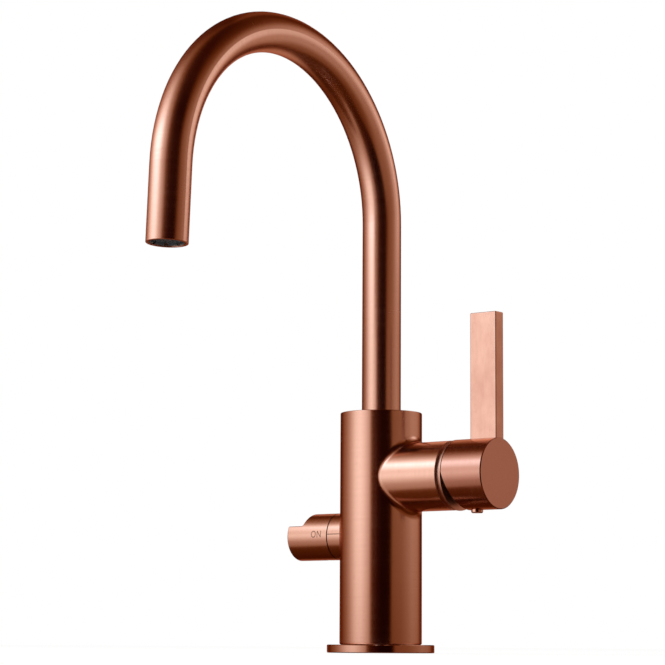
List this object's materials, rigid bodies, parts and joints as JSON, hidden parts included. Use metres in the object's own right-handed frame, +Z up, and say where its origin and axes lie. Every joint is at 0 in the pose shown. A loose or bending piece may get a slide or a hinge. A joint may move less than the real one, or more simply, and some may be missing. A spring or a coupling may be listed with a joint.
{
  "type": "kitchen mixer tap",
  "caption": "Deck-mounted kitchen mixer tap with a swan-neck swivel spout, a side lever and a dishwasher shut-off knob, brushed copper.",
  "frame": {"origin": "on the tap's upright axis, on the underside of the base flange", "axes": "+Z up, -Y to the front where the spout reaches, +X to the lever's side"},
  "size_m": [0.1365, 0.2254, 0.3443],
  "materials": {
    "copper_finish": "satin brushed copper over brass",
    "plain_brass": "turned brass",
    "stainless_steel": "plain",
    "seal_rubber": "matte",
    "disc_ceramic": "lapped",
    "white_plastic": "moulded",
    "grey_plastic": "moulded"
  },
  "bodies": {
    "tap_body": {"body": "copper_finish", "port_block": "plain_brass", "base_flange": "copper_finish", "base_gasket": "seal_rubber", "spout_gland": "plain_brass", "spout_slide_ring": "white_plastic", "spout_stop_screw": "stainless_steel", "cartridge_base": "white_plastic", "cartridge_seals": "seal_rubber", "fixed_disc": "disc_ceramic", "cartridge_housing": "white_plastic", "cartridge_nut": "plain_brass", "trim_ring": "copper_finish", "headwork_body": "plain_brass", "headwork_o_ring": "seal_rubber", "shutoff_seat_seal": "seal_rubber", "shutoff_fixed_disc": "disc_ceramic"},
    "spout": {"spout_tube": "copper_finish", "spout_ferrule": "plain_brass", "spout_o_rings": "seal_rubber", "aerator_housing": "grey_plastic", "aerator_grid": "grey_plastic", "aerator_seal": "seal_rubber"},
    "carrier": {"cartridge_carrier": "white_plastic", "stem_pin": "stainless_steel"},
    "lever": {"lever_stem": "stainless_steel", "lever_handle": "copper_finish", "lever_set_screw": "stainless_steel", "set_screw_plug": "copper_finish"},
    "mixing_disc": {"moving_disc": "disc_ceramic", "disc_holder": "white_plastic"},
    "shutoff": {"shutoff_spindle": "plain_brass", "shutoff_moving_disc": "disc_ceramic", "shutoff_knob": "copper_finish", "knob_set_screw": "stainless_steel", "spindle_o_ring": "seal_rubber", "spindle_clip": "stainless_steel"}
  },
  "joints": [
    {"name": "spout_swivel", "type": "hinge", "parent": "tap_body", "child": "spout", "pos_m": [0, 0, 0.2], "axis": [0, 0, 1], "range_deg": [-60, 60]},
    {"name": "lever_turn", "type": "hinge", "parent": "tap_body", "child": "carrier", "pos_m": [0.04402, 0, 0.097], "axis": [1, 0, 0], "range_deg": [-45, 45]},
    {"name": "lever_tilt", "type": "hinge", "parent": "carrier", "child": "lever", "pos_m": [0.04402, 0, 0.097], "axis": [0, 1, 0], "range_deg": [0, 16]},
    {"name": "disc_slide", "type": "slide", "parent": "carrier", "child": "mixing_disc", "axis": [0, 0, 1], "range_m": [0, 0.00224]},
    {"name": "shutoff_turn", "type": "hinge", "parent": "tap_body", "child": "shutoff", "pos_m": [-0.0425, 0, 0.0652], "axis": [1, 0, 0], "range_deg": [0, 90]}
  ],
  "couplings": [
    {"joint": "disc_slide", "follows": "lever_tilt", "m_per_rad": 0.008}
  ]
}
